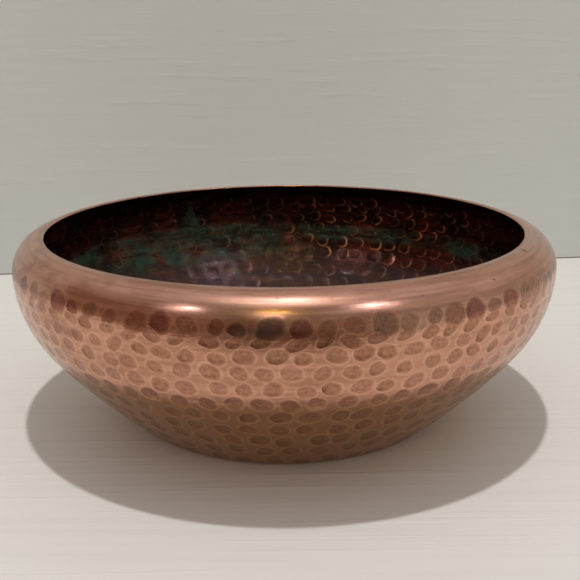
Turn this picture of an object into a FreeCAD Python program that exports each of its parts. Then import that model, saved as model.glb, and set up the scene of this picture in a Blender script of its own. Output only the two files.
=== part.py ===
import FreeCAD, Part
import math
import os

import Sketcher

# Hammered copper bowl, raised from one sheet of copper.
#
# The bowl is a body of revolution about +Z. Its origin is the centre of the flat that it stands
# on. The wall's section is a chain of tangent arcs, listed from the base up: base corner, flank,
# belly and shoulder. The shoulder is a quarter round, so the lip lies level and points inwards.

# Alias, millimetres and meaning of each driving dimension.
DIMENSIONS = [
    ("widest_diameter", 254.0, "outside, across the widest line"),
    ("overall_height", 90.0, "from the table to the top of the lip"),
    ("shoulder_radius", 14.5, "outside, from the widest line in to the lip"),
    ("belly_radius", 56.0, "outside, just below the widest line"),
    ("flank_radius", 320.0, "outside, from the belly down to the base corner"),
    ("base_diameter", 147.0, "the flat that the bowl stands on"),
    ("base_corner_radius", 5.5, "outside, between the flat and the flank"),
    ("sheet_thickness", 1.0, "the copper sheet, the same all over"),
]

SHEET_NAME = "Sizes"
ORIGIN_POINT = (-1, 1)
AXIS_LINE = -2
START, END, CENTRE = 1, 2, 3
QUARTER_TURN = math.pi / 2


def add_sheet(document):
    """Write the driving dimensions into a spreadsheet, one row each."""
    sheet = document.addObject("Spreadsheet::Sheet", SHEET_NAME)
    for row, (alias, value, meaning) in enumerate(DIMENSIONS, start=1):
        sheet.set(f"A{row}", alias.replace("_", " "))
        sheet.set(f"B{row}", str(value))
        sheet.set(f"C{row}", meaning)
        sheet.setAlias(f"B{row}", alias)
    document.recompute()
    return {alias: float(sheet.get(alias)) for alias, _, _ in DIMENSIONS}


def meeting_point(first, first_distance, second, second_distance):
    """The point at the given distances from two points, on the axis side of the line between."""
    gap = second - first
    along = (first_distance ** 2 - second_distance ** 2 + gap.Length ** 2) / (2 * gap.Length)
    aside = math.sqrt(first_distance ** 2 - along ** 2)
    direction = gap / gap.Length
    sideways = FreeCAD.Vector(-direction.y, direction.x, 0)
    return first + direction * along + sideways * aside


def heading(start, end):
    """Angle of the line from one point to another."""
    return math.atan2(end.y - start.y, end.x - start.x)


def wall_arcs(size):
    """Centre, outside radius, start angle and end angle of each arc, from the base up."""
    corner_radius = size["base_corner_radius"]
    flank_radius = size["flank_radius"]
    belly_radius = size["belly_radius"]
    shoulder_radius = size["shoulder_radius"]
    widest_radius = size["widest_diameter"] / 2
    widest_height = size["overall_height"] - shoulder_radius
    corner = FreeCAD.Vector(size["base_diameter"] / 2, corner_radius, 0)
    belly = FreeCAD.Vector(widest_radius - belly_radius, widest_height, 0)
    shoulder = FreeCAD.Vector(widest_radius - shoulder_radius, widest_height, 0)
    flank = meeting_point(corner, flank_radius - corner_radius, belly, flank_radius - belly_radius)
    corner_end = heading(flank, corner)
    flank_end = heading(flank, belly)
    return {
        "corner": (corner, corner_radius, -QUARTER_TURN, corner_end),
        "flank": (flank, flank_radius, corner_end, flank_end),
        "belly": (belly, belly_radius, flank_end, 0.0),
        "shoulder": (shoulder, shoulder_radius, 0.0, QUARTER_TURN),
    }


def add_arc(sketch, centre, radius, start_angle, end_angle):
    """Draw one anticlockwise arc."""
    circle = Part.Circle(centre, FreeCAD.Vector(0, 0, 1), radius)
    return sketch.addGeometry(Part.ArcOfCircle(circle, start_angle, end_angle), False)


def add_line(sketch, start, end):
    """Draw one straight line."""
    return sketch.addGeometry(Part.LineSegment(start, end), False)


def constrain(sketch, kind, *where):
    """Add a constraint that has no size of its own."""
    sketch.addConstraint(Sketcher.Constraint(kind, *where))


def bind(sketch, name, expression, kind, *where):
    """Add a named constraint and tie its size to the spreadsheet."""
    index = sketch.addConstraint(Sketcher.Constraint(kind, *where))
    sketch.renameConstraint(index, name)
    sketch.setExpression(f"Constraints.{name}", expression)


def draw_face(sketch, arcs, base_half_width, inset):
    """Draw one face of the sheet, set in from the outside: its flat and then its arcs."""
    floor_start = FreeCAD.Vector(0, inset, 0)
    floor_end = FreeCAD.Vector(base_half_width, inset, 0)
    face = {"floor": add_line(sketch, floor_start, floor_end)}
    for name, (centre, radius, start_angle, end_angle) in arcs.items():
        face[name] = add_arc(sketch, centre, radius - inset, start_angle, end_angle)
    constrain(sketch, "Horizontal", face["floor"])
    chain = list(face.values())
    for lower, upper in zip(chain, chain[1:]):
        constrain(sketch, "Tangent", lower, END, upper, START)
    return face


def draw_section(sketch, size):
    """Draw the wall's section: the outside, the inside, the rounded lip and the axis."""
    arcs = wall_arcs(size)
    thickness = size["sheet_thickness"]
    half_base = size["base_diameter"] / 2
    outside = draw_face(sketch, arcs, half_base, 0.0)
    inside = draw_face(sketch, arcs, half_base, thickness)

    constrain(sketch, "Coincident", outside["floor"], START, *ORIGIN_POINT)
    constrain(sketch, "Horizontal", outside["belly"], CENTRE, outside["belly"], END)
    constrain(sketch, "Vertical", outside["shoulder"], CENTRE, outside["shoulder"], END)
    bind(sketch, "half_base", f"{SHEET_NAME}.base_diameter / 2",
         "DistanceX", *ORIGIN_POINT, outside["floor"], END, half_base)
    bind(sketch, "half_width", f"{SHEET_NAME}.widest_diameter / 2",
         "DistanceX", *ORIGIN_POINT, outside["belly"], END, size["widest_diameter"] / 2)
    bind(sketch, "height", f"{SHEET_NAME}.overall_height",
         "DistanceY", *ORIGIN_POINT, outside["shoulder"], END, size["overall_height"])
    bind(sketch, "corner", f"{SHEET_NAME}.base_corner_radius",
         "Radius", outside["corner"], size["base_corner_radius"])
    for name in ("flank", "belly", "shoulder"):
        bind(sketch, name, f"{SHEET_NAME}.{name}_radius",
             "Radius", outside[name], size[f"{name}_radius"])

    constrain(sketch, "PointOnObject", inside["floor"], START, AXIS_LINE)
    for name in arcs:
        constrain(sketch, "Coincident", inside[name], CENTRE, outside[name], CENTRE)
    bind(sketch, "inside_corner", f"{SHEET_NAME}.base_corner_radius - {SHEET_NAME}.sheet_thickness",
         "Radius", inside["corner"], size["base_corner_radius"] - thickness)

    lip_x = arcs["shoulder"][0].x
    lip_centre = FreeCAD.Vector(lip_x, size["overall_height"] - thickness / 2, 0)
    lip = add_arc(sketch, lip_centre, thickness / 2, QUARTER_TURN, 3 * QUARTER_TURN)
    constrain(sketch, "Tangent", outside["shoulder"], END, lip, START)
    constrain(sketch, "Tangent", inside["shoulder"], END, lip, END)

    axis = add_line(sketch, FreeCAD.Vector(0, 0, 0), FreeCAD.Vector(0, thickness, 0))
    constrain(sketch, "Coincident", axis, START, outside["floor"], START)
    constrain(sketch, "Coincident", axis, END, inside["floor"], START)


def add_bowl(document, size):
    """Make the bowl: its wall's section, turned once about the axis."""
    body = document.addObject("PartDesign::Body", "Bowl")
    body.Label = "bowl"
    body.Placement = FreeCAD.Placement()
    section_plane = next(p for p in body.Origin.OriginFeatures if p.Role == "XZ_Plane")
    sketch = body.newObject("Sketcher::SketchObject", "WallSection")
    sketch.AttachmentSupport = [(section_plane, "")]
    sketch.MapMode = "FlatFace"
    draw_section(sketch, size)
    document.recompute()
    wall = body.newObject("PartDesign::Revolution", "Wall")
    wall.Profile = sketch
    wall.ReferenceAxis = (sketch, ["V_Axis"])
    wall.Angle = 360.0
    body.Tip = wall
    return body, sketch


def check(document, body, sketch, size):
    """Stop if anything failed to build or the bowl isn't the size the sheet gives."""
    for item in document.Objects:
        if "Invalid" in item.State or "Error" in item.State:
            raise RuntimeError(f"{item.Label} failed: {item.State}")
    if not sketch.FullyConstrained:
        raise RuntimeError("the wall's section isn't fully constrained")
    shape = body.Shape
    if shape.isNull() or not shape.isValid() or len(shape.Solids) != 1:
        raise RuntimeError("the bowl isn't one valid solid")
    box = shape.optimalBoundingBox(False)
    wanted = (size["widest_diameter"], size["widest_diameter"], size["overall_height"])
    tolerance = 0.01
    for built, asked in zip((box.XLength, box.YLength, box.ZLength), wanted):
        if abs(built - asked) > tolerance:
            raise RuntimeError(f"the bowl measures {built:.3f} mm, not {asked:.3f} mm")


def write_step(body):
    """Write the bowl's solid to a file named after it."""
    os.makedirs("parts", exist_ok=True)
    body.Shape.exportStep(os.path.join("parts", f"{body.Label}.step"))
    print(f"{body.Label}: {body.Shape.Volume / 1000:.2f} cubic centimetres of copper")


document = FreeCAD.newDocument("HammeredBowl")
size = add_sheet(document)
bowl, section = add_bowl(document, size)
document.recompute()
check(document, bowl, section, size)
write_step(bowl)
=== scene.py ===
import math

import bpy
import numpy as np
from mathutils import Euler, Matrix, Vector


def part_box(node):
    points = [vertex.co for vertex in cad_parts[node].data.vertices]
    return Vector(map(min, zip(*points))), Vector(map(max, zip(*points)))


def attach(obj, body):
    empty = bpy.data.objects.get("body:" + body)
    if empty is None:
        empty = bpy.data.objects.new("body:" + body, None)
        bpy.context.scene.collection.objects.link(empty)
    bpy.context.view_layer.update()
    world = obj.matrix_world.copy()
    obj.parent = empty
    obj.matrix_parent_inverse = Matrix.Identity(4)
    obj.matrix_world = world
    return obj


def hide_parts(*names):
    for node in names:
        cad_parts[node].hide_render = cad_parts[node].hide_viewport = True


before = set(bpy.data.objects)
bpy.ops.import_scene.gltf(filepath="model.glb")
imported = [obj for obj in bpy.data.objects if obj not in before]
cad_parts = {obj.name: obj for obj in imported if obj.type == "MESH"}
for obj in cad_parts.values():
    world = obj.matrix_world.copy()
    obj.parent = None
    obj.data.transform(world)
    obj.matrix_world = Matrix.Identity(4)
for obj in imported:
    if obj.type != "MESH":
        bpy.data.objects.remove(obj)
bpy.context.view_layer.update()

# ----------------------------------------------------------------------
# The sheet. The bowl is one piece of millimetre copper sheet, spun up from a flat disc: a flat
# base, a small turned corner, a shallow flank, a tighter belly and a quarter-round shoulder that
# brings the edge level. The edge is filed to a half round. Lengths are in metres.

low_corner, high_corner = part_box("bowl")
widest_radius = (high_corner[0] - low_corner[0]) / 2
lip_height = high_corner[2]
sheet = 0.001
base_radius = 0.0735
base_corner = 0.0055
flank_curve = 0.320
belly_curve = 0.056
shoulder_curve = 0.0145


def meeting_point(first, first_reach, second, second_reach):
    """The point at the given distances from two points, on the axis side of the line between."""
    gap = second - first
    along = (first_reach ** 2 - second_reach ** 2 + gap.length_squared) / (2 * gap.length)
    aside = math.sqrt(first_reach ** 2 - along ** 2)
    direction = gap.normalized()
    return first + direction * along + Vector((-direction.y, direction.x)) * aside


def heading(start, end):
    """Angle of the line from one point to another."""
    return math.atan2(end.y - start.y, end.x - start.x)


def wall_arcs():
    """Centre, mid-sheet radius, start angle and end angle of each arc, from the base up."""
    widest_height = lip_height - shoulder_curve
    corner = Vector((base_radius, base_corner))
    belly = Vector((widest_radius - belly_curve, widest_height))
    shoulder = Vector((widest_radius - shoulder_curve, widest_height))
    flank = meeting_point(corner, flank_curve - base_corner, belly, flank_curve - belly_curve)
    corner_end = heading(flank, corner)
    flank_end = heading(flank, belly)
    return (
        (corner, base_corner - sheet / 2, -math.pi / 2, corner_end),
        (flank, flank_curve - sheet / 2, corner_end, flank_end),
        (belly, belly_curve - sheet / 2, flank_end, 0.0),
        (shoulder, shoulder_curve - sheet / 2, 0.0, math.pi / 2),
    )


arcs = wall_arcs()
arc_starts = [base_radius]
for _, arc_radius, start_angle, end_angle in arcs:
    arc_starts.append(arc_starts[-1] + arc_radius * (end_angle - start_angle))
lip_run = arc_starts[-1]


def wall_point(run):
    """Radius, height and outward direction of the mid-sheet, this far along it from the centre."""
    if run <= base_radius:
        return run, sheet / 2, 0.0, -1.0
    for (centre, radius, start, _), arc_start, arc_end in zip(arcs, arc_starts, arc_starts[1:]):
        if run <= arc_end + sheet / 1000:
            angle = start + (run - arc_start) / radius
            out, up = math.cos(angle), math.sin(angle)
            return centre.x + radius * out, centre.y + radius * up, out, up
    raise ValueError("the run is past the lip")


def even_steps(start, end, spacing):
    """Runs from start up to, and not including, end, evenly spaced."""
    count = max(1, round((end - start) / spacing))
    return [start + (end - start) * step / count for step in range(count)]


# Columns round the bowl. The flat has fewer and fewer columns towards its middle.
columns = 576
flat_runs = [(0.18, columns // 32), (0.32, columns // 16), (0.48, columns // 8),
             (0.66, columns // 4), (0.84, columns // 2)]
outside_spacing = 0.00128
inside_spacing = 0.00162
corner_coarser = 1.2
shoulder_coarser = 1.9
lip_steps = 4


def face_rings(side, spacing):
    """Rings of one face of the sheet, base to lip: columns, radius, height, outward, run."""
    rings = []
    _, corner_end, _, belly_end, _ = arc_starts
    runs = [(share * base_radius, count) for share, count in flat_runs]
    stretches = ((base_radius, corner_end, spacing * corner_coarser),
                 (corner_end, belly_end, spacing),
                 (belly_end, lip_run, spacing * shoulder_coarser))
    for start, end, step in stretches:
        runs += [(run, columns) for run in even_steps(start, end, step)]
    runs.append((lip_run, columns))
    for run, count in runs:
        radius, height, out, up = wall_point(run)
        shift = side * sheet / 2
        rings.append((count, radius + out * shift, height + up * shift, out, up, run))
    return rings


def lip_rings():
    """Rings of the filed half round between the two faces."""
    radius, height, _, _ = wall_point(lip_run)
    rings = []
    for step in range(1, lip_steps):
        turn = math.pi * step / lip_steps
        rings.append((columns, radius - math.sin(turn) * sheet / 2,
                      height + math.cos(turn) * sheet / 2, 0.0, 1.0, lip_run))
    return rings


def join_rings(lower_start, lower_count, upper_start, upper_count):
    """Faces between two rings, which have the same columns, or one has twice the other's."""
    faces = []
    if lower_count == upper_count:
        for column in range(lower_count):
            following = (column + 1) % lower_count
            faces.append((lower_start + column, lower_start + following,
                          upper_start + following, upper_start + column))
        return faces
    growing = upper_count > lower_count
    fine_start, fine_count = (upper_start, upper_count) if growing else (lower_start, lower_count)
    coarse_start = lower_start if growing else upper_start
    for column in range(fine_count // 2):
        first = fine_start + 2 * column
        middle = first + 1
        last = fine_start + (2 * column + 2) % fine_count
        here = coarse_start + column
        after = coarse_start + (column + 1) % (fine_count // 2)
        fan = ((here, middle, first), (here, after, middle), (after, last, middle))
        faces += fan if growing else [face[::-1] for face in fan]
    return faces


def sheet_mesh():
    """The smooth shell before hammering, with what the hammer needs to know at each point."""
    outside = face_rings(1, outside_spacing)
    inside = face_rings(-1, inside_spacing)[::-1]
    rings = outside + lip_rings() + inside
    inside_from = len(outside) + lip_steps - 2
    places, outward, runs, turns, faces, face_is_inside = [], [], [], [], [], []
    starts = []
    for count, radius, height, out, up, run in rings:
        starts.append(len(places))
        for column in range(count):
            turn = column / count
            cos, sin = math.cos(2 * math.pi * turn), math.sin(2 * math.pi * turn)
            places.append((radius * cos, radius * sin, height))
            outward.append((out * cos, out * sin, up))
            runs.append(run)
            turns.append(turn)
    for index in range(len(rings) - 1):
        made = join_rings(starts[index], rings[index][0], starts[index + 1], rings[index + 1][0])
        faces += made
        face_is_inside += [index >= inside_from] * len(made)
    for start, height, is_inside in ((starts[0], 0.0, False), (starts[-1], sheet, True)):
        pole = len(places)
        places.append((0.0, 0.0, height))
        outward.append((0.0, 0.0, -1.0))
        runs.append(0.0)
        turns.append(0.0)
        for column in range(flat_runs[0][1]):
            edge = (start + column, start + (column + 1) % flat_runs[0][1])
            faces.append((pole, *edge) if is_inside else (pole, *edge[::-1]))
            face_is_inside.append(is_inside)
    mesh = bpy.data.meshes.new("copper_sheet")
    mesh.from_pydata(places, [], faces)
    for name, kind, domain, values, field in (
        ("outward", "FLOAT_VECTOR", "POINT", outward, "vector"),
        ("run", "FLOAT", "POINT", runs, "value"),
        ("turn", "FLOAT", "POINT", turns, "value"),
        ("inside", "BOOLEAN", "FACE", face_is_inside, "value"),
    ):
        layer = mesh.attributes.new(name, kind, domain)
        layer.data.foreach_set(field, np.array(values).ravel())
    add_wall_map(mesh, np.array(runs), np.array(turns), np.array(face_is_inside))
    mesh.polygons.foreach_set("use_smooth", [True] * len(mesh.polygons))
    mesh.update()
    return mesh


def add_wall_map(mesh, runs, turns, face_is_inside):
    """UV map: across is once round the bowl, up is the outside to the lip, then the inside."""
    layer = mesh.uv_layers.new(name="wall")
    corners = np.empty(len(mesh.loops), int)
    mesh.loops.foreach_get("vertex_index", corners)
    across = np.empty((len(mesh.loops), 2))
    for polygon in mesh.polygons:
        span = slice(polygon.loop_start, polygon.loop_start + polygon.loop_total)
        turn = turns[corners[span]]
        if turn.max() - turn.min() > 0.5:
            turn = np.where(turn < 0.5, turn + 1, turn)
        up = runs[corners[span]] / lip_run / 2
        across[span, 0] = turn
        across[span, 1] = 1 - up if face_is_inside[polygon.index] else up
    layer.data.foreach_set("uv", across.ravel())


# ----------------------------------------------------------------------
# The hammer marks. A ball-peen hammer worked round the bowl in staggered rows, from the widest
# line down to the base corner. Each blow left a shallow round dent about seven millimetres
# across, and its back stands out inside the bowl. The first row is the largest and least even.

mark_depth = 0.00030
marks = {
    "First row": lip_run - 0.0188,
    "First pitch": 0.0045,
    "Pitch growth": 0.00045,
    "Rows": 11.0,
    "Marks in first row": 78.0,
    "Narrowing": 0.36,
    "Half width": 0.0041,
    "Half height": 0.0021,
    "Height growth": 0.00040,
    "First row boost": 0.32,
    "Scatter": 0.13,
    "Wobble": 0.0010,
    "Seed": 4.0,
}

# How one blow differs from another: its lean in radians, its size, how wide it is for its
# height, how much of it is a round dish, and its force. A height given in rows grows as much as
# that many rows further down.
most_lean = 0.6
smallest_size = 0.88
size_range = 0.22
least_stretch = 0.92
stretch_range = 0.16
first_row_taller = 2.2
boost_in_rows = 4.0
dish_share = 0.6
lightest_blow = 0.5
first_row_force = 0.30
full_force_row = 3.5
row_luck_seed = 7.0
far_outside = 9.0


def new_group(name, kind, inputs, outputs):
    """A node group with plain number sockets. Gives the tree and its inner in and out sockets."""
    tree = bpy.data.node_groups.new(name, kind)
    for socket in inputs:
        tree.interface.new_socket(socket, in_out="INPUT", socket_type="NodeSocketFloat")
    for socket in outputs:
        tree.interface.new_socket(socket, in_out="OUTPUT", socket_type="NodeSocketFloat")
    return tree, tree.nodes.new("NodeGroupInput").outputs, tree.nodes.new("NodeGroupOutput").inputs


def feed(tree, node, inputs):
    """Feed a node's inputs from plain values or from other sockets."""
    for key, value in inputs.items():
        if isinstance(value, bpy.types.NodeSocket):
            tree.links.new(value, node.inputs[key])
        else:
            node.inputs[key].default_value = value
    return node


def put(tree, kind, inputs=None, **options):
    """Add a node, set its options and feed its inputs."""
    node = tree.nodes.new(kind)
    for option, value in options.items():
        setattr(node, option, value)
    return feed(tree, node, inputs or {})


def maths(tree, operation, *values):
    """A Math node's result."""
    return put(tree, "ShaderNodeMath", dict(enumerate(values)), operation=operation).outputs[0]


def times(tree, first, second):
    """Two values multiplied together."""
    return maths(tree, "MULTIPLY", first, second)


def rescale(tree, value, low, high, new_low=0.0, new_high=1.0, interpolation="SMOOTHSTEP"):
    """A value taken from one range to another, held at both ends."""
    feeds = dict(enumerate((value, low, high, new_low, new_high)))
    node = put(tree, "ShaderNodeMapRange", feeds, interpolation_type=interpolation)
    return node.outputs[0]


def use_group(tree, group, inputs):
    """Place a node group in another tree."""
    kind = "GeometryNodeGroup" if tree.bl_idname == "GeometryNodeTree" else "ShaderNodeGroup"
    node = tree.nodes.new(kind)
    node.node_tree = group
    return feed(tree, node, inputs)


def round_and_up(tree, turn, radius, up):
    """The point at this turn on a circle of this radius, this far up."""
    angle = times(tree, turn, 2 * math.pi)
    feeds = {0: times(tree, maths(tree, "COSINE", angle), radius),
             1: times(tree, maths(tree, "SINE", angle), radius),
             2: up}
    return put(tree, "ShaderNodeCombineXYZ", feeds).outputs[0]


def chance(tree, across, down, seed):
    """Three random numbers for one mark."""
    place = put(tree, "ShaderNodeCombineXYZ", {0: across, 1: down, 2: seed}).outputs[0]
    noise = put(tree, "ShaderNodeTexWhiteNoise", {"Vector": place}, noise_dimensions="3D")
    return put(tree, "ShaderNodeSeparateXYZ", {0: noise.outputs["Color"]}).outputs


def one_mark_group(kind):
    """How deep one candidate mark is here, how far out in it this point is, and on which side."""
    inputs = ["Turn", "Below", "Radius", "Row", "Step", *marks]
    tree, given, result = new_group("one_mark", kind, inputs, ["Depth", "Reach", "Side", "Tint"])
    row = given["Row"]
    lost = times(tree, times(tree, row, row), given["Narrowing"])
    count = maths(tree, "ROUND", maths(tree, "SUBTRACT", given["Marks in first row"], lost))
    row_luck = chance(tree, row, given["Seed"], row_luck_seed)
    around = maths(tree, "MULTIPLY_ADD", given["Turn"], count, row_luck[0])
    column = maths(tree, "ADD", maths(tree, "FLOOR", around), given["Step"])
    number = maths(tree, "FLOORED_MODULO", column, count)
    luck = chance(tree, number, row, given["Seed"])
    more_luck = chance(tree, number, row, maths(tree, "ADD", given["Seed"], 1.0))
    still_more = chance(tree, number, row, maths(tree, "ADD", given["Seed"], 2.0))

    def stray(value):
        return times(tree, maths(tree, "MULTIPLY_ADD", value, 2.0, -1.0), given["Scatter"])

    # Metres across and down from the middle of the mark.
    across = maths(tree, "SUBTRACT", maths(tree, "SUBTRACT", around, column), stray(luck[0]))
    length = maths(tree, "DIVIDE", times(tree, given["Radius"], 2 * math.pi), count)
    across = times(tree, across, length)
    strayed_row = maths(tree, "ADD", row, stray(luck[1]))
    pitch = maths(tree, "MULTIPLY_ADD", strayed_row, given["Pitch growth"], given["First pitch"])
    down = maths(tree, "SUBTRACT", given["Below"], times(tree, pitch, strayed_row))

    # The mark is an oval, turned a little.
    lean = maths(tree, "MULTIPLY_ADD", more_luck[2], 2 * most_lean, -most_lean)
    cos, sin = maths(tree, "COSINE", lean), maths(tree, "SINE", lean)
    long_way = maths(tree, "MULTIPLY_ADD", across, cos, times(tree, down, sin))
    short_way = maths(tree, "SUBTRACT", times(tree, down, cos), times(tree, across, sin))
    in_first_row = maths(tree, "LESS_THAN", row, 0.5)
    uneven = maths(tree, "MAXIMUM", maths(tree, "MULTIPLY_ADD", still_more[0], 2.2, -0.8), 0.0)
    boost = times(tree, times(tree, in_first_row, given["First row boost"]), uneven)
    size = maths(tree, "MULTIPLY_ADD", more_luck[0], size_range, smallest_size)
    size = maths(tree, "ADD", size, boost)
    stretch = maths(tree, "MULTIPLY_ADD", more_luck[1], stretch_range, least_stretch)
    half_width = times(tree, times(tree, size, stretch), given["Half width"])
    taller = maths(tree, "ADD", maths(tree, "MULTIPLY_ADD", boost, boost_in_rows, row),
                   times(tree, in_first_row, first_row_taller))
    half_height = maths(tree, "MULTIPLY_ADD", taller, given["Height growth"], given["Half height"])
    half_height = maths(tree, "DIVIDE", times(tree, half_height, size), stretch)
    long_way = maths(tree, "DIVIDE", long_way, half_width)
    short_way = maths(tree, "DIVIDE", short_way, half_height)
    squared = maths(tree, "MULTIPLY_ADD", long_way, long_way, times(tree, short_way, short_way))
    reach = maths(tree, "SQRT", squared)

    # The hammer leaned a little, so one side of each mark is deeper and has the sharper edge.
    side = maths(tree, "SUBTRACT", times(tree, short_way, 0.55), times(tree, long_way, 0.80))
    edge_start = maths(tree, "MULTIPLY_ADD", side, 0.16, 0.52)
    slope = rescale(tree, reach, edge_start, 1.0, 1.0, 0.0)
    dish = maths(tree, "MAXIMUM", maths(tree, "SUBTRACT", 1.0, squared), 0.0)
    shape = maths(tree, "MULTIPLY_ADD", dish, dish_share, times(tree, slope, 1 - dish_share))
    shape = times(tree, shape, maths(tree, "MULTIPLY_ADD", side, 0.22, 0.90))
    above_last = maths(tree, "LESS_THAN", row, maths(tree, "SUBTRACT", given["Rows"], 0.5))
    real = times(tree, above_last, maths(tree, "GREATER_THAN", row, -0.5))
    force = maths(tree, "MULTIPLY_ADD", still_more[2], 1 - lightest_blow, lightest_blow)
    force = times(tree, force, real)
    force = times(tree, force, maths(tree, "MULTIPLY_ADD", boost, 1.2, 1.0))
    force = times(tree, force,
                  rescale(tree, row, 0.0, full_force_row, first_row_force, 1.0, "LINEAR"))
    tree.links.new(times(tree, shape, force), result["Depth"])
    missing = times(tree, maths(tree, "SUBTRACT", 1.0, real), far_outside)
    tree.links.new(maths(tree, "ADD", reach, missing), result["Reach"])
    tree.links.new(side, result["Side"])
    tree.links.new(luck[2], result["Tint"])
    return tree


def hammer_marks_group(kind):
    """The whole pattern: depth from 0 to 1, reach (1 at a mark's edge), side and tint."""
    one_mark = one_mark_group(kind)
    names = ("Depth", "Reach", "Side", "Tint")
    tree, given, result = new_group("hammer_marks", kind, ["Turn", "Run", "Radius", *marks], names)
    place = round_and_up(tree, given["Turn"], given["Radius"], given["Run"])
    noise = put(tree, "ShaderNodeTexNoise", {"Vector": place, "Scale": 200.0, "Detail": 1.0})
    sway = put(tree, "ShaderNodeSeparateXYZ", {0: noise.outputs["Color"]}).outputs
    sideways = times(tree, maths(tree, "SUBTRACT", sway[0], 0.5), given["Wobble"])
    sideways = maths(tree, "DIVIDE", sideways, maths(tree, "MAXIMUM", given["Radius"], 0.01))
    turn = maths(tree, "MULTIPLY_ADD", sideways, 1 / math.pi, given["Turn"])
    lower = times(tree, maths(tree, "SUBTRACT", sway[1], 0.5), given["Wobble"])
    below = maths(tree, "SUBTRACT", given["First row"], given["Run"])
    below = maths(tree, "MULTIPLY_ADD", lower, 2.0, below)

    # The rows lie further apart towards the base. This finds the row number at this height.
    first, growth = given["First pitch"], given["Pitch growth"]
    under_root = times(tree, times(tree, growth, below), 4.0)
    under_root = maths(tree, "MAXIMUM", maths(tree, "MULTIPLY_ADD", first, first, under_root), 0.0)
    rows_down = maths(tree, "SUBTRACT", maths(tree, "SQRT", under_root), first)
    rows_down = maths(tree, "DIVIDE", rows_down, times(tree, growth, 2.0))
    just_above_first = -0.999
    row_above = maths(tree, "FLOOR", maths(tree, "MAXIMUM", rows_down, just_above_first))
    best = None
    for row_step in (0.0, 1.0):
        for column_step in (0.0, 1.0):
            feeds = {name: given[name] for name in ("Radius", *marks)}
            feeds |= {"Turn": turn, "Below": below, "Step": column_step,
                      "Row": maths(tree, "ADD", row_above, row_step)}
            found = use_group(tree, one_mark, feeds).outputs
            if best is None:
                best = [found[name] for name in names]
                continue
            depth, reach, *kept = best
            nearer = maths(tree, "LESS_THAN", found["Reach"], reach)
            best = [maths(tree, "MAXIMUM", depth, found["Depth"]),
                    maths(tree, "MINIMUM", reach, found["Reach"])]
            for name, old in zip(names[2:], kept):
                change = maths(tree, "SUBTRACT", found[name], old)
                best.append(maths(tree, "MULTIPLY_ADD", nearer, change, old))
    for name, socket in zip(names, best):
        tree.links.new(socket, result[name])
    return tree


# ----------------------------------------------------------------------
# The copper. Outside it is rubbed satin, with brown and red tarnish in the marks; its bright ridges
# are partly wear and partly painted highlight, and one side of each mark and the lower flank carry
# painted
# shade. Inside it was left to darken: nearly black between the bumps, maroon and gold where they are
# worn, the gold on one side of each bump partly painted highlight, with verdigris where water stood.

# Where the finish changes, in metres along the sheet from the middle of the base.
shoulder_starts = (0.166, 0.182)
rims_fade = (0.170, 0.178)
top_row_starts = (0.1684, 0.1700)
# Below this run the outside is painted a darker gold: painted shade where the lower flank mirrors the
# shadowed table.
shadow_mirror_starts = (0.141, 0.132)
violet_starts = (0.148, 0.122)
# Painted highlight, partly wear: the inside crescents strengthen across the next span.
wear_and_glint_starts = (0.130, 0.148)
film_thickens = (0.150, 0.172)
water_line = ((0.1455, 0.1510), (0.1530, 0.1585))
water_pool = ((0.130, 0.142), (0.155, 0.161))
drip_end = 0.010

# Each drip's turn, half width as a share of a turn, and lowest and highest place.
drips = ((0.325, 0.0065, 0.142, 0.178), (0.292, 0.004, 0.120, 0.138))

# How much each tarnish, painted highlight and painted shade shows where it is full, from 0 to 1,
# and what adds to the roughness.
outside_shown = {"shadow_mirror_gold": 0.70, "rims": 0.45, "floors": 0.54, "low floors": 0.36,
                 "top floors": 0.68, "mottle": 0.48, "shade commas": 0.65, "shade arcs": 0.40}
inside_shown = {"violet": 0.85, "glint_flecks": 0.10}
outside_roughness = {"metal": 0.16, "patches": 0.05, "fine lines": 0.06, "marks": 0.03}
inside_roughness = {"metal": 0.25, "fine lines": 0.08, "verdigris": 0.35}

# Heights of the finish's own relief, in metres.
outside_relief = {"marks": 0.00010, "rims": 0.000025, "fine lines": 0.000007, "specks": 0.000004}
inside_relief = {"bumps": 0.00014, "verdigris": 0.00003, "grit": 0.000006, "fine lines": 0.000005}

# Places on the bowl, in metres.
stained_place = (-0.095, -0.072, 0.084)
# Near the next place the crescents on the bumps, partly painted highlight, are strongest.
wear_and_glint_place = (0.060, 0.100, 0.072)
damp_place = (-0.055, 0.098, 0.055)

marks_in_finish = hammer_marks_group("ShaderNodeTree")


def band(tree, value, rise, fall):
    """1 between two slopes: up from 0 over the first span, and back to 0 over the second."""
    return times(tree, rescale(tree, value, *rise), rescale(tree, value, *fall, 1.0, 0.0))


def from_axis(tree, place):
    """How far a place is from the Z axis."""
    x, y, _ = put(tree, "ShaderNodeSeparateXYZ", {0: place}).outputs
    return maths(tree, "SQRT", maths(tree, "MULTIPLY_ADD", x, x, times(tree, y, y)))


def wall_place_group():
    """Turn, run and radius at a point of the finish, from the wall's map and the position."""
    tree, _, result = new_group("wall_place", "ShaderNodeTree", [], ["Turn", "Run", "Radius"])
    across, up, _ = put(tree, "ShaderNodeSeparateXYZ",
                        {0: put(tree, "ShaderNodeUVMap", uv_map="wall").outputs[0]}).outputs
    from_lip = maths(tree, "ABSOLUTE", maths(tree, "MULTIPLY_ADD", up, 2.0, -1.0))
    run = times(tree, maths(tree, "SUBTRACT", 1.0, from_lip), lip_run)
    radius = from_axis(tree, put(tree, "ShaderNodeTexCoord").outputs["Object"])
    for name, socket in (("Turn", across), ("Run", run), ("Radius", radius)):
        tree.links.new(socket, result[name])
    return tree


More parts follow.
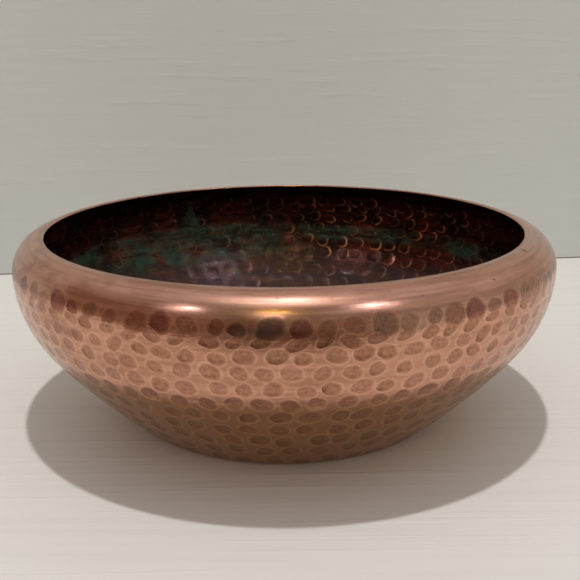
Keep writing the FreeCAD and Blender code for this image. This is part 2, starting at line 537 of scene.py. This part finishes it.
def rubbed_lines_group():
    """Fine lines left by rubbing round and round: mostly level, of uneven length and strength."""
    tree, given, result = new_group("rubbed_lines", "ShaderNodeTree",
                                    ["Turn", "Run", "Per metre", "Stretch"], ["Line"])
    up = times(tree, given["Run"], given["Per metre"])
    place = round_and_up(tree, given["Turn"], given["Stretch"], up)
    noise = put(tree, "ShaderNodeTexNoise", {"Vector": place, "Scale": 1.0, "Detail": 3.0,
                                             "Roughness": 0.65})
    tree.links.new(rescale(tree, noise.outputs[0], 0.3, 0.7), result["Line"])
    return tree


def clouds_group():
    """Soft patches of a given size over the piece, from 0 to 1."""
    tree, given, result = new_group("clouds", "ShaderNodeTree",
                                    ["Scale", "Detail", "Low", "High", "Offset", "Squash"],
                                    ["Amount"])
    moved = put(tree, "ShaderNodeCombineXYZ", {axis: given["Offset"] for axis in range(3)})
    squashed = put(tree, "ShaderNodeCombineXYZ", {0: 1.0, 1: 1.0, 2: given["Squash"]})
    feeds = {"Vector": put(tree, "ShaderNodeTexCoord").outputs["Object"],
             "Location": moved.outputs[0], "Scale": squashed.outputs[0]}
    place = put(tree, "ShaderNodeMapping", feeds).outputs[0]
    noise = put(tree, "ShaderNodeTexNoise", {"Vector": place, "Scale": given["Scale"],
                                             "Detail": given["Detail"], "Roughness": 0.6})
    tree.links.new(rescale(tree, noise.outputs[0], given["Low"], given["High"]), result["Amount"])
    return tree


def near_place_group():
    """1 close to a place on the piece, falling to 0."""
    tree, given, result = new_group("near_place", "ShaderNodeTree",
                                    ["X", "Y", "Z", "Inner", "Outer"], ["Amount"])
    here = put(tree, "ShaderNodeTexCoord").outputs["Object"]
    there = put(tree, "ShaderNodeCombineXYZ", {0: given["X"], 1: given["Y"], 2: given["Z"]})
    gap = put(tree, "ShaderNodeVectorMath", {0: here, 1: there.outputs[0]}, operation="DISTANCE")
    amount = rescale(tree, gap.outputs["Value"], given["Inner"], given["Outer"], 1.0, 0.0)
    tree.links.new(amount, result["Amount"])
    return tree


wall_place = wall_place_group()
rubbed_lines = rubbed_lines_group()
clouds_effect = clouds_group()
near_place = near_place_group()


def marks_here(tree):
    """The turn, the run and the hammer pattern in a material."""
    turn, run, radius = use_group(tree, wall_place, {}).outputs
    feeds = {"Turn": turn, "Run": run, "Radius": radius, **marks}
    return turn, run, use_group(tree, marks_in_finish, feeds).outputs


def lines(tree, turn, run, per_metre, stretch):
    """Rubbed lines in a material."""
    return use_group(tree, rubbed_lines, {"Turn": turn, "Run": run, "Per metre": per_metre,
                                          "Stretch": stretch}).outputs[0]


def clouds(tree, scale, detail, low, high, offset=0.0, squash=1.0):
    """Soft patches in a material."""
    return use_group(tree, clouds_effect, {"Scale": scale, "Detail": detail, "Low": low, "High": high,
                                           "Offset": offset, "Squash": squash}).outputs[0]


def near(tree, place, inner, outer):
    """A mask round one place in a material."""
    return use_group(tree, near_place, {"X": place[0], "Y": place[1], "Z": place[2],
                                        "Inner": inner, "Outer": outer}).outputs[0]


def blend(tree, amount, first, second):
    """One colour turning into another."""
    return put(tree, "ShaderNodeMix", {0: amount, 6: first, 7: second}, data_type="RGBA").outputs[2]


def new_finish(name):
    """An empty material with a Principled shader."""
    material = bpy.data.materials.new(name)
    material.use_nodes = True
    tree = material.node_tree
    tree.nodes.clear()
    output = tree.nodes.new("ShaderNodeOutputMaterial")
    shader = tree.nodes.new("ShaderNodeBsdfPrincipled")
    tree.links.new(shader.outputs[0], output.inputs["Surface"])
    return material, tree, shader


def raise_surface(tree, shader, height):
    """Give a finish its fine relief, in metres."""
    bump = put(tree, "ShaderNodeBump", {"Height": height, "Distance": 1.0, "Strength": 1.0})
    tree.links.new(bump.outputs[0], shader.inputs["Normal"])


def top_row_tarnish_and_reflection(tree, luck):
    """The first row's marks are deeper and painted darker, each of its own colour: partly tarnish,
    partly painted reflection of the dark room in front.
    """
    ramp = tree.nodes.new("ShaderNodeValToRGB")
    tree.links.new(luck, ramp.inputs[0])
    stops = ramp.color_ramp.elements
    stops[0].position, stops[0].color = 0.0, (0.52, 0.280, 0.180, 1.0)
    stops[1].position, stops[1].color = 1.0, (0.25, 0.150, 0.125, 1.0)
    for position, colour in ((0.25, (0.45, 0.235, 0.160, 1.0)), (0.45, (0.36, 0.188, 0.128, 1.0)),
                             (0.65, (0.46, 0.180, 0.110, 1.0)), (0.82, (0.38, 0.115, 0.100, 1.0))):
        stops.new(position).color = colour
    return ramp.outputs[0]


def satin_copper():
    """The outside, the underside and the lip."""
    polished = (0.73, 0.385, 0.272, 1.0)
    rubbed = (0.50, 0.238, 0.162, 1.0)
    flank = (0.66, 0.345, 0.230, 1.0)
    flank_rubbed = (0.49, 0.240, 0.150, 1.0)
    # The three gold colours are painted shade: the lower flank mirrors the table in the bowl's
    # shadow.
    shadow_mirror_gold = (0.48, 0.248, 0.095, 1.0)
    # The two pale rim colours are partly bright wear and partly painted highlight.
    shadow_mirror_rim = (0.88, 0.52, 0.27, 1.0)
    edge = (0.88, 0.51, 0.360, 1.0)
    shadow_mirror_floor = (0.31, 0.150, 0.058, 1.0)
    pink = (0.46, 0.205, 0.145, 1.0)
    olive = (0.42, 0.205, 0.115, 1.0)
    stain = (0.34, 0.155, 0.095, 1.0)
    brown = (0.17, 0.065, 0.038, 1.0)
    material, tree, shader = new_finish("satin_copper")
    turn, run, pattern = marks_here(tree)
    fine = lines(tree, turn, run, 2600.0, 9.0)
    broad = lines(tree, turn, run, 520.0, 2.5)
    reach, side = pattern["Reach"], pattern["Side"]
    in_mark = rescale(tree, reach, 0.66, 1.02, 1.0, 0.0)
    ring = band(tree, reach, (0.50, 0.84), (0.86, 1.0))
    # A pale rim round each mark: partly bright wear, partly painted highlight where the ridges catch
    # the light. It also lifts the relief a little.
    rim = band(tree, reach, (0.88, 1.04), (1.04, 1.34))
    rim = times(tree, rim, rescale(tree, run, *rims_fade, 1.0, 0.3))
    wear_and_glint = clouds(tree, 240.0, 3.0, 0.36, 0.62, 0.8)
    rim = times(tree, rim, maths(tree, "MULTIPLY_ADD", wear_and_glint, 0.6, 0.4))
    # Painted shade: a dark comma round the sharp side of each mark.
    shade_comma = times(tree, ring, rescale(tree, side, 0.30, 0.90))
    shade_comma = times(tree, shade_comma, rescale(tree, pattern["Tint"], 0.3, 0.9, 0.45, 1.2))
    # Painted shade: a dark inner arc on the same side.
    step = band(tree, reach, (0.46, 0.56), (0.58, 0.70))
    step = times(tree, step, rescale(tree, side, 0.0, 0.40))
    step = times(tree, step, rescale(tree, pattern["Tint"], 0.35, 0.65))
    patches = clouds(tree, 26.0, 4.0, 0.32, 0.68)
    stains = clouds(tree, 70.0, 6.0, 0.46, 0.72, 0.4, squash=2.0)
    specks = clouds(tree, 420.0, 3.0, 0.35, 0.75, 0.3)
    mottle = clouds(tree, 800.0, 4.0, 0.42, 0.62, 0.6)
    spots = clouds(tree, 230.0, 2.0, 0.70, 0.76, 0.9)

    # Ground: bright on the shoulder, duller down the flank, streaked and stained.
    streaks = maths(tree, "MULTIPLY_ADD", broad, 0.6, times(tree, patches, 0.4))
    streaks = rescale(tree, streaks, 0.12, 0.88)
    high = rescale(tree, run, *shoulder_starts)
    ground = blend(tree, high, blend(tree, streaks, flank, flank_rubbed),
                   blend(tree, streaks, polished, rubbed))
    # Painted shade: from here down, the ground, rims and mark floors turn a darker gold, as the lower
    # flank mirrors the shadowed table.
    below = rescale(tree, run, *shadow_mirror_starts)
    ground = blend(tree, times(tree, below, outside_shown["shadow_mirror_gold"]), ground, shadow_mirror_gold)
    # The rims take a paler colour: partly wear, partly painted highlight.
    ground = blend(tree, times(tree, rim, outside_shown["rims"]), ground,
                   blend(tree, below, edge, shadow_mirror_rim))

    # Marks: darker inside with tarnish, and darkest along the sharp side, where a comma and an inner
    # arc are painted shade.
    floor = blend(tree, pattern["Tint"], pink, olive)
    # Painted shade: the mark floors low on the flank turn darker gold.
    floor = blend(tree, times(tree, below, 0.6), floor, shadow_mirror_floor)
    # Partly tarnish, partly painted reflection of the dark room: the first row's mark floors take
    # their own darker colours.
    top_row = rescale(tree, run, *top_row_starts)
    floor = blend(tree, top_row, floor, top_row_tarnish_and_reflection(tree, pattern["Tint"]))
    floors = outside_shown["floors"]
    share = maths(tree, "MULTIPLY_ADD", below, outside_shown["low floors"] - floors, floors)
    share = maths(tree, "MULTIPLY_ADD", top_row, outside_shown["top floors"] - floors, share)
    share = times(tree, share, rescale(tree, pattern["Tint"], 0.0, 1.0, 0.65, 1.25, "LINEAR"))
    colour = blend(tree, times(tree, in_mark, share), ground, floor)
    dirty = maths(tree, "MULTIPLY_ADD", near(tree, stained_place, 0.02, 0.075), 0.50, 0.20)
    colour = blend(tree, times(tree, stains, dirty), colour, stain)
    tarnish_and_shade = times(tree, in_mark, times(tree, mottle, outside_shown["mottle"]))
    tarnish_and_shade = maths(tree, "MULTIPLY_ADD", shade_comma, outside_shown["shade commas"], tarnish_and_shade)
    tarnish_and_shade = maths(tree, "MULTIPLY_ADD", step, outside_shown["shade arcs"], tarnish_and_shade)
    tarnish_and_shade = maths(tree, "MAXIMUM", tarnish_and_shade, times(tree, spots, high))
    tarnish_and_shade = times(tree, tarnish_and_shade, maths(tree, "MULTIPLY_ADD", specks, 0.5, 0.6))
    # The painted shade of the commas and arcs joins the tarnish and dark spots in darkening towards
    # brown.
    colour = blend(tree, tarnish_and_shade, colour, brown)
    tree.links.new(colour, shader.inputs["Base Color"])
    shader.inputs["Metallic"].default_value = 1.0
    shader.inputs["Anisotropic"].default_value = 0.45
    shader.inputs["Anisotropic Rotation"].default_value = 0.25
    around = put(tree, "ShaderNodeTangent", direction_type="UV_MAP", uv_map="wall")
    tree.links.new(around.outputs[0], shader.inputs["Tangent"])
    rough = outside_roughness["metal"]
    for mask, name in ((patches, "patches"), (fine, "fine lines"), (in_mark, "marks")):
        rough = maths(tree, "MULTIPLY_ADD", mask, outside_roughness[name], rough)
    tree.links.new(rough, shader.inputs["Roughness"])
    height = maths(tree, "MULTIPLY_ADD", pattern["Depth"], -outside_relief["marks"],
                   times(tree, fine, outside_relief["fine lines"]))
    height = maths(tree, "MULTIPLY_ADD", rim, outside_relief["rims"], height)
    height = maths(tree, "MULTIPLY_ADD", specks, outside_relief["specks"], height)
    raise_surface(tree, shader, height)
    return material


def drip(tree, turn, run, sway, place, half_width, low, high):
    """A narrow upright mark down the inside: 1 in its middle, falling to 0 round its edges."""
    furthest = 0.8 * half_width
    swayed = maths(tree, "MULTIPLY_ADD", sway, 2 * furthest, -furthest)
    aside = maths(tree, "ABSOLUTE", maths(tree, "SUBTRACT", maths(tree, "ADD", turn, swayed), place))
    across = rescale(tree, aside, 0.1 * half_width, half_width, 1.0, 0.0)
    upright = band(tree, run, (low, low + drip_end), (high - drip_end, high))
    return times(tree, across, upright)


def tarnished_copper():
    """The inside."""
    black = (0.022, 0.009, 0.007, 1.0)
    maroon = (0.150, 0.021, 0.011, 1.0)
    umber = (0.105, 0.052, 0.034, 1.0)
    # gold and silver colour the bright crescents on the bumps: partly wear, partly painted highlight
    # and glints.
    gold = (0.80, 0.33, 0.165, 1.0)
    violet = (0.062, 0.042, 0.048, 1.0)
    silver = (0.32, 0.235, 0.225, 1.0)
    verdigris = (0.032, 0.125, 0.072, 1.0)
    material, tree, shader = new_finish("tarnished_copper")
    turn, run, pattern = marks_here(tree)
    fine = lines(tree, turn, run, 1500.0, 8.0)
    level = lines(tree, turn, run, 340.0, 6.0)
    wide = lines(tree, turn, run, 150.0, 5.0)
    reach, side = pattern["Reach"], pattern["Side"]
    ring = band(tree, reach, (0.60, 0.84), (0.92, 1.08))
    crescent = times(tree, ring, rescale(tree, side, -0.3, 0.6, 0.10, 1.0))
    patches = clouds(tree, 62.0, 5.0, 0.42, 0.62, 0.11)
    wear_and_glint_patches = clouds(tree, 140.0, 4.0, 0.40, 0.58, 0.53)
    grit = clouds(tree, 500.0, 3.0, 0.35, 0.7, 0.2)
    glint_flecks = clouds(tree, 300.0, 5.0, 0.54, 0.70, 0.63, squash=1.6)
    low = rescale(tree, run, *violet_starts)

    # Ground: black and maroon patches drawn out level, going violet brown towards the floor.
    ground = blend(tree, times(tree, patches, level), black, maroon)
    lower = blend(tree, times(tree, wide, 0.9), umber, violet)
    ground = blend(tree, times(tree, low, inside_shown["violet"]), ground, lower)

    # The backs of the marks are painted bright along one side: partly wear, partly painted highlight,
    # strongest near one place. Low down the crescents turn pale, and scattered flecks are painted
    # glints.
    wear_and_glint = times(tree, crescent, maths(tree, "MULTIPLY_ADD", wear_and_glint_patches, 0.85, 0.15))
    wear_and_glint = times(tree, wear_and_glint, maths(tree, "MULTIPLY_ADD", pattern["Tint"], 0.7, 0.3))
    where = maths(tree, "MULTIPLY_ADD", near(tree, wear_and_glint_place, 0.024, 0.080), 0.80, 0.28)
    where = times(tree, where, rescale(tree, run, *wear_and_glint_starts, 0.55, 1.0))
    wear_and_glint = times(tree, wear_and_glint, where)
    wear_and_glint = maths(tree, "MAXIMUM", wear_and_glint, times(tree, glint_flecks, inside_shown["glint_flecks"]))
    colour = blend(tree, wear_and_glint, ground, blend(tree, low, gold, silver))

    # Verdigris: a level streak where water stood, thicker on one side, and two drips.
    line = band(tree, run, *water_line)
    pool = times(tree, band(tree, run, *water_pool), near(tree, damp_place, 0.03, 0.085))
    blotch = times(tree, clouds(tree, 60.0, 6.0, 0.38, 0.56, 0.77),
                   clouds(tree, 330.0, 4.0, 0.25, 0.52, 0.17))
    amount = times(tree, maths(tree, "MULTIPLY_ADD", level, 0.8, 0.2),
                   maths(tree, "MULTIPLY_ADD", blotch, 0.85, 0.15))
    where = maths(tree, "MAXIMUM", line, pool)
    green = times(tree, amount, where)
    sway = clouds(tree, 160.0, 3.0, 0.3, 0.7, 0.9)
    for place, half_width, bottom, top in drips:
        one_drip = drip(tree, turn, run, sway, place, half_width, bottom, top)
        one_drip = times(tree, one_drip, maths(tree, "MULTIPLY_ADD", sway, 0.8, 0.2))
        green = maths(tree, "MAXIMUM", green, one_drip)
    green = times(tree, green, maths(tree, "MULTIPLY_ADD", grit, 0.4, 0.6))
    colour = blend(tree, green, colour, verdigris)
    tree.links.new(colour, shader.inputs["Base Color"])
    film = rescale(tree, run, *film_thickens, 0.9, 0.7)
    bare = maths(tree, "SUBTRACT", 1.0, times(tree, green, 0.9))
    metal = times(tree, film, bare)
    tree.links.new(metal, shader.inputs["Metallic"])
    rough = inside_roughness["metal"]
    for mask, name in ((fine, "fine lines"), (green, "verdigris")):
        rough = maths(tree, "MULTIPLY_ADD", mask, inside_roughness[name], rough)
    tree.links.new(rough, shader.inputs["Roughness"])
    height = maths(tree, "MULTIPLY_ADD", pattern["Depth"], inside_relief["bumps"],
                   times(tree, fine, inside_relief["fine lines"]))
    height = maths(tree, "MULTIPLY_ADD", green, inside_relief["verdigris"], height)
    height = maths(tree, "MULTIPLY_ADD", grit, inside_relief["grit"], height)
    raise_surface(tree, shader, height)
    return material


def hammering_tree():
    """Geometry Nodes that strike the marks into the sheet and give its two faces their finish."""
    tree = bpy.data.node_groups.new("hammer_the_sheet", "GeometryNodeTree")
    new_socket = tree.interface.new_socket
    new_socket("Sheet", in_out="INPUT", socket_type="NodeSocketGeometry")
    for name in ("Mark depth", *marks):
        new_socket(name, in_out="INPUT", socket_type="NodeSocketFloat")
    for name in ("Outside finish", "Inside finish"):
        new_socket(name, in_out="INPUT", socket_type="NodeSocketMaterial")
    new_socket("Bowl", in_out="OUTPUT", socket_type="NodeSocketGeometry")
    given = tree.nodes.new("NodeGroupInput").outputs
    result = tree.nodes.new("NodeGroupOutput").inputs

    def known(name, kind):
        node = put(tree, "GeometryNodeInputNamedAttribute", {"Name": name}, data_type=kind)
        return node.outputs["Attribute"]

    radius = from_axis(tree, tree.nodes.new("GeometryNodeInputPosition").outputs[0])
    feeds = {"Turn": known("turn", "FLOAT"), "Run": known("run", "FLOAT"), "Radius": radius}
    feeds |= {name: given[name] for name in marks}
    depth = use_group(tree, hammer_marks_group("GeometryNodeTree"), feeds).outputs["Depth"]
    inwards = times(tree, times(tree, depth, given["Mark depth"]), -1.0)
    push = put(tree, "ShaderNodeVectorMath", {0: known("outward", "FLOAT_VECTOR"), "Scale": inwards},
               operation="SCALE").outputs[0]
    struck = put(tree, "GeometryNodeSetPosition", {"Geometry": given["Sheet"], "Offset": push})
    whole = put(tree, "GeometryNodeRealizeInstances", {"Geometry": struck.outputs[0]})
    outside = put(tree, "GeometryNodeSetMaterial", {"Geometry": whole.outputs[0],
                                                    "Material": given["Outside finish"]})
    both = put(tree, "GeometryNodeSetMaterial", {"Geometry": outside.outputs[0],
                                                 "Selection": known("inside", "BOOLEAN"),
                                                 "Material": given["Inside finish"]})
    tree.links.new(both.outputs[0], result["Bowl"])
    return tree


def hammered_bowl():
    """Strike the sheet and keep the result as a plain mesh."""
    blank = bpy.data.objects.new("blank", sheet_mesh())
    bpy.context.scene.collection.objects.link(blank)
    modifier = blank.modifiers.new("hammering", "NODES")
    modifier.node_group = hammering_tree()
    values = {"Mark depth": mark_depth, **marks,
              "Outside finish": satin_copper(), "Inside finish": tarnished_copper()}
    for item in modifier.node_group.interface.items_tree:
        if item.in_out == "INPUT" and item.name in values:
            modifier[item.identifier] = values[item.name]
    bpy.context.view_layer.update()
    depsgraph = bpy.context.evaluated_depsgraph_get()
    mesh = bpy.data.meshes.new_from_object(blank.evaluated_get(depsgraph),
                                           preserve_all_data_layers=True, depsgraph=depsgraph)
    bpy.data.objects.remove(blank)
    for name in ("outward", "run", "turn", "inside"):
        mesh.attributes.remove(mesh.attributes[name])
    mesh.name = "hammered_bowl"
    bowl = bpy.data.objects.new("hammered_bowl", mesh)
    bpy.context.scene.collection.objects.link(bowl)
    return bowl


bowl = hammered_bowl()
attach(bowl, "root")
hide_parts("bowl")

# ----------------------------------------------------------------------
# The table and the wall behind it: pale painted boards and a plain grey wall. The copper only
# reflects the table, which stops short in front of it, and not the floor that goes on round it.

table_front = -0.26
table_half_width = 0.9
wall_distance = 0.265
wall_height = 0.55
wall_turn = math.radians(4.6)
wall_half_length = 1.5
table_back = 1.0
apron_reach = 2.5
joint_height = 0.0009
joint_proud = 0.0004
ridge_height = 0.0012
ripple_height = 0.0002
grain_darkening = 0.6


def painted_grain_group():
    """Brush marks and wood grain under paint, along X: how pale, and how high."""
    tree, given, result = new_group("painted_grain", "ShaderNodeTree", ["Grain"], ["Pale", "Height"])
    place = put(tree, "ShaderNodeMapping",
                {"Vector": put(tree, "ShaderNodeTexCoord").outputs["Object"],
                 "Scale": (6.0, 160.0, 160.0)}).outputs[0]
    noise = put(tree, "ShaderNodeTexNoise", {"Vector": place, "Scale": 1.0, "Detail": 5.0}).outputs[0]
    duller = times(tree, rescale(tree, noise, 0.3, 0.5, 1.0, 0.0), given["Grain"])
    tree.links.new(maths(tree, "SUBTRACT", 1.0, duller), result["Pale"])
    ridges = times(tree, rescale(tree, noise, 0.56, 0.66), given["Grain"])
    raised = times(tree, ridges, ridge_height)
    tree.links.new(maths(tree, "MULTIPLY_ADD", noise, ripple_height, raised), result["Height"])
    return tree


painted_grain = painted_grain_group()


def plain_surface(name, colour, rough, grain, one_sided=False):
    """A painted surface with a faint grain along X. A one-sided one can't be seen from behind."""
    material, tree, shader = new_finish(name)
    surface = use_group(tree, painted_grain, {"Grain": grain}).outputs
    darker = tuple(channel * grain_darkening for channel in colour[:3]) + (1.0,)
    tree.links.new(blend(tree, surface["Pale"], darker, colour), shader.inputs["Base Color"])
    shader.inputs["Roughness"].default_value = rough
    raise_surface(tree, shader, surface["Height"])
    if one_sided:
        from_behind = put(tree, "ShaderNodeNewGeometry").outputs["Backfacing"]
        clear = put(tree, "ShaderNodeBsdfTransparent").outputs[0]
        seen = put(tree, "ShaderNodeMixShader", {0: from_behind, 1: shader.outputs[0], 2: clear})
        tree.links.new(seen.outputs[0], tree.get_output_node("ALL").inputs["Surface"])
    return material


def flat_panel(name, corners, material):
    """One flat four-sided panel."""
    mesh = bpy.data.meshes.new(name)
    mesh.from_pydata(corners, [], [(0, 1, 2, 3)])
    mesh.materials.append(material)
    panel = bpy.data.objects.new(name, mesh)
    bpy.context.scene.collection.objects.link(panel)
    return panel


def level_rectangle(left, right, front, back):
    """Corners of a rectangle on the table's level."""
    return [(left, front, 0.0), (right, front, 0.0), (right, back, 0.0), (left, back, 0.0)]


def wall_rectangle(height, proud):
    """Corners of the wall up to this height, moved this far towards the bowl."""
    slant = math.tan(wall_turn)
    left, right = ((x, wall_distance + x * slant - proud)
                   for x in (-wall_half_length, wall_half_length))
    return [(*left, 0.0), (*right, 0.0), (*right, height), (*left, height)]


boards = plain_surface("painted_boards", (0.81, 0.785, 0.750, 1.0), 0.5, 0.10)
wall_paint = plain_surface("wall_paint", (0.70, 0.745, 0.735, 1.0), 0.7, 0.03, one_sided=True)
# A thin dark strip at the foot of the wall: painted shade in the corner.
joint_shade = plain_surface("joint_shadow", (0.20, 0.19, 0.175, 1.0), 0.8, 0.0, one_sided=True)
flat_panel("table", level_rectangle(-table_half_width, table_half_width, table_front, table_back),
           boards)
for name, left, right, front, back in (
        ("front_apron", -apron_reach, apron_reach, -apron_reach, table_front),
        ("left_apron", -apron_reach, -table_half_width, table_front, table_back),
        ("right_apron", table_half_width, apron_reach, table_front, table_back),
        ("back_apron", -apron_reach, apron_reach, table_back, apron_reach)):
    apron = flat_panel(name, level_rectangle(left, right, front, back), boards)
    apron.visible_glossy = False
flat_panel("wall", wall_rectangle(wall_height, 0.0), wall_paint)
flat_panel("wall_joint", wall_rectangle(joint_height, joint_proud), joint_shade)

# ----------------------------------------------------------------------
# The light: one overhead lamp that draws the bowl's shadow on the table, smaller lamps for the
# highlights round the shoulder, and a soft room that is darker low down in front.

warm_white = (1.0, 0.985, 0.965)
cool = (1.0, 1.0, 1.30)
soft_cool = (1.0, 0.98, 1.05)
faint_pink = (1.0, 0.98, 1.0)
amber = (1.0, 0.90, 0.08)
lamp_height = 1.8


def lamp(name, place, size, power, colour):
    """A round lamp, of this width in metres and power in watts, that shines at the bowl."""
    data = bpy.data.lights.new(name, "AREA")
    data.shape = "DISK"
    data.size = size
    data.energy = power
    data.color = colour
    made = bpy.data.objects.new(name, data)
    made.location = place
    made.rotation_euler = (-Vector(place)).to_track_quat("-Z", "Y").to_euler()
    bpy.context.scene.collection.objects.link(made)
    return made


shadow_lamp = lamp("shadow_lamp", (-0.02, -0.14, 3.5), 0.12, 50.0, warm_white)
shadow_lamp.visible_glossy = False
for name, x, y, size, power, colour in (
        ("overhead_highlight", 0.03, 0.020, 0.20, 0.65, cool),
        ("overhead_glow", 0.0, -0.08, 0.70, 1.0, soft_cool),
        ("left_highlight", -1.11, -0.92, 0.12, 0.8, cool),
        ("left_glow", -1.20, -0.95, 0.50, 0.9, soft_cool),
        ("right_highlight", 0.89, -0.73, 0.14, 1.7, cool),
        ("right_glow", 0.95, -0.80, 0.50, 0.9, soft_cool),
        ("warm_highlight", -0.11, -1.25, 0.14, 1.0, amber),
        ("front_highlight", -0.18, -1.75, 0.10, 1.4, faint_pink)):
    lamp(name, (x, y, lamp_height), size, power, colour).visible_diffuse = False


def soft_room():
    """World light: dark below and low in front and to the left, brighter towards the ceiling."""
    dark_russet, pale_russet = (0.10, 0.045, 0.035, 1.0), (0.31, 0.175, 0.120, 1.0)
    dark_olive, pale_olive = (0.090, 0.082, 0.063, 1.0), (0.25, 0.24, 0.20, 1.0)
    right_wall = (0.43, 0.43, 0.39, 1.0)
    front_left, front_right = (0.28, 0.265, 0.205, 1.0), (0.40, 0.39, 0.36, 1.0)
    ceiling_white = (0.58, 0.57, 0.58, 1.0)
    gloomy_left = (0.25, 0.165, 0.120, 1.0)
    skylight = (1.25, 1.25, 1.22, 1.0)
    fill_below, fill_above = (0.54, 0.385, 0.25, 1.0), (0.53, 0.53, 0.53, 1.0)
    pale_grey = (0.42, 0.42, 0.40, 1.0)
    world = bpy.data.worlds.new("soft_room")
    world.use_nodes = True
    tree = world.node_tree
    tree.nodes.clear()
    output = tree.nodes.new("ShaderNodeOutputWorld")
    direction = put(tree, "ShaderNodeTexCoord").outputs["Generated"]
    right, back, up = put(tree, "ShaderNodeSeparateXYZ", {0: direction}).outputs
    noise = put(tree, "ShaderNodeTexNoise", {"Vector": direction, "Scale": 2.6, "Detail": 3.0})
    hue = put(tree, "ShaderNodeTexNoise", {"Vector": direction, "Scale": 3.4, "Detail": 2.0})
    shade = rescale(tree, noise.outputs[0], 0.40, 0.60)
    russet = blend(tree, shade, dark_russet, pale_russet)
    olive = blend(tree, shade, dark_olive, pale_olive)
    dark = blend(tree, rescale(tree, hue.outputs[0], 0.44, 0.56), russet, olive)
    sides = blend(tree, rescale(tree, right, 0.35, 0.85), dark, right_wall)
    front = blend(tree, rescale(tree, right, -0.1, 0.5), front_left, front_right)
    ceiling = blend(tree, rescale(tree, back, -0.25, 0.15), front, ceiling_white)
    upper = blend(tree, rescale(tree, up, 0.25, 0.70), sides, ceiling)
    gloom = times(tree, rescale(tree, right, -0.25, -0.75), rescale(tree, up, 0.9, 0.5))
    upper = blend(tree, gloom, upper, gloomy_left)
    upper = blend(tree, rescale(tree, up, 0.93, 0.998), upper, skylight)
    path = put(tree, "ShaderNodeLightPath").outputs
    fill = blend(tree, rescale(tree, up, 0.0, 0.8), fill_below, fill_above)
    cast = blend(tree, path["Is Diffuse Ray"], upper, fill)
    seen = blend(tree, path["Is Camera Ray"], cast, pale_grey)
    background = put(tree, "ShaderNodeBackground", {"Color": seen, "Strength": 1.0})
    tree.links.new(background.outputs[0], output.inputs["Surface"])
    bpy.context.scene.world = world


soft_room()
bpy.context.scene.view_settings.view_transform = "Standard"

# ----------------------------------------------------------------------
# The camera: held a little above the bowl, under half a metre away, and looking down at its
# side. Lengths are in metres and angles in radians; the lens is in millimetres.

aim_height = 0.0382
camera_distance = 0.4318
camera_elevation = 0.3213
camera_roll = -0.0092

camera_data = bpy.data.cameras.new("camera")
camera_data.lens = 53.57
camera_data.shift_x = 0.0090
camera_data.shift_y = 0.0606
camera_data.clip_start = 0.01
camera = bpy.data.objects.new("camera", camera_data)
camera.location = (0.0, -camera_distance * math.cos(camera_elevation),
                   aim_height + camera_distance * math.sin(camera_elevation))
tilt = Euler((math.pi / 2 - camera_elevation, 0.0, 0.0)).to_matrix()
camera.rotation_euler = (tilt @ Euler((0.0, 0.0, camera_roll)).to_matrix()).to_euler()
bpy.context.scene.collection.objects.link(camera)
bpy.context.scene.camera = camera
